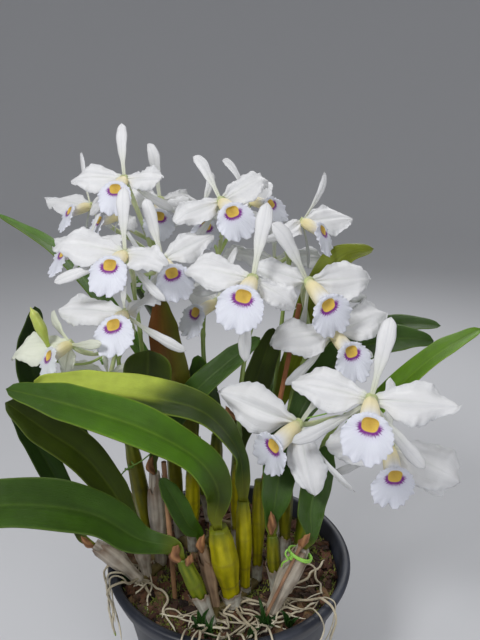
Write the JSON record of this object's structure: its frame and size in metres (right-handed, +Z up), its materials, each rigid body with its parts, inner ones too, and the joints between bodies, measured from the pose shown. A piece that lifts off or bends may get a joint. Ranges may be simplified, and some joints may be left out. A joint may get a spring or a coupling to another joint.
{
  "type": "potted cattleya purpurata orchid",
  "caption": "Standing potted orchid clump with strap leaves, pseudobulbs and stalked white blooms with violet-ringed lips over a round dark pot.",
  "frame": {"origin": "centre of the pot's flat underside, on the surface that the pot stands on", "axes": "+Z up, -Y towards the side that most blooms face, +X to the right seen from that side"},
  "size_m": [0.4896, 0.3322, 0.5779],
  "materials": {
    "pot_plastic": "satin blue-black moulded plastic",
    "bark_mix": "rough bark chips with moss",
    "pseudobulb": "smooth, faintly grooved",
    "leaf": "leathery, soft shine",
    "flower_stem": "smooth, soft shine",
    "petal": "fine velvety sheen, lip violet and yellow inside",
    "cane": "dry and matte",
    "tie": "smooth soft plastic"
  },
  "bodies": {
    "root": {"pot": "pot_plastic", "mix": "bark_mix", "growth_front": "pseudobulb", "growth_left": "pseudobulb", "growth_right": "pseudobulb", "growth_back": "pseudobulb", "leaf_01": "leaf", "leaf_02": "leaf", "leaf_03": "leaf", "leaf_04": "leaf", "leaf_05": "leaf", "leaf_06": "leaf", "leaf_07": "leaf", "leaf_08": "leaf", "leaf_09": "leaf", "leaf_10": "leaf", "leaf_11": "leaf", "leaf_12": "leaf", "leaf_13": "leaf", "leaf_14": "leaf", "leaf_15": "leaf", "leaf_16": "leaf", "leaf_17": "leaf", "leaf_18": "leaf", "leaf_19": "leaf", "leaf_20": "leaf", "stem_top_left": "flower_stem", "stem_mid_left": "flower_stem", "stem_low_left": "flower_stem", "stem_top_middle": "flower_stem", "stem_middle": "flower_stem", "stem_right": "flower_stem", "stem_top_right": "flower_stem", "stem_low_right": "flower_stem", "bloom_01": "petal", "bloom_02": "petal", "bloom_03": "petal", "bloom_04": "petal", "bloom_05": "petal", "bloom_06": "petal", "bloom_07": "petal", "bloom_08": "petal", "bloom_09": "petal", "bloom_10": "petal", "bloom_11": "petal", "bloom_12": "petal", "bloom_13": "petal", "bloom_14": "petal", "bloom_15": "petal", "bloom_16": "petal", "bloom_17": "petal", "bloom_18": "petal", "bloom_19": "petal", "bloom_20": "petal", "bloom_21": "petal", "bloom_22": "petal", "cane_left": "cane", "cane_middle": "cane", "cane_right": "cane", "tie": "tie"}
  },
  "joints": []
}
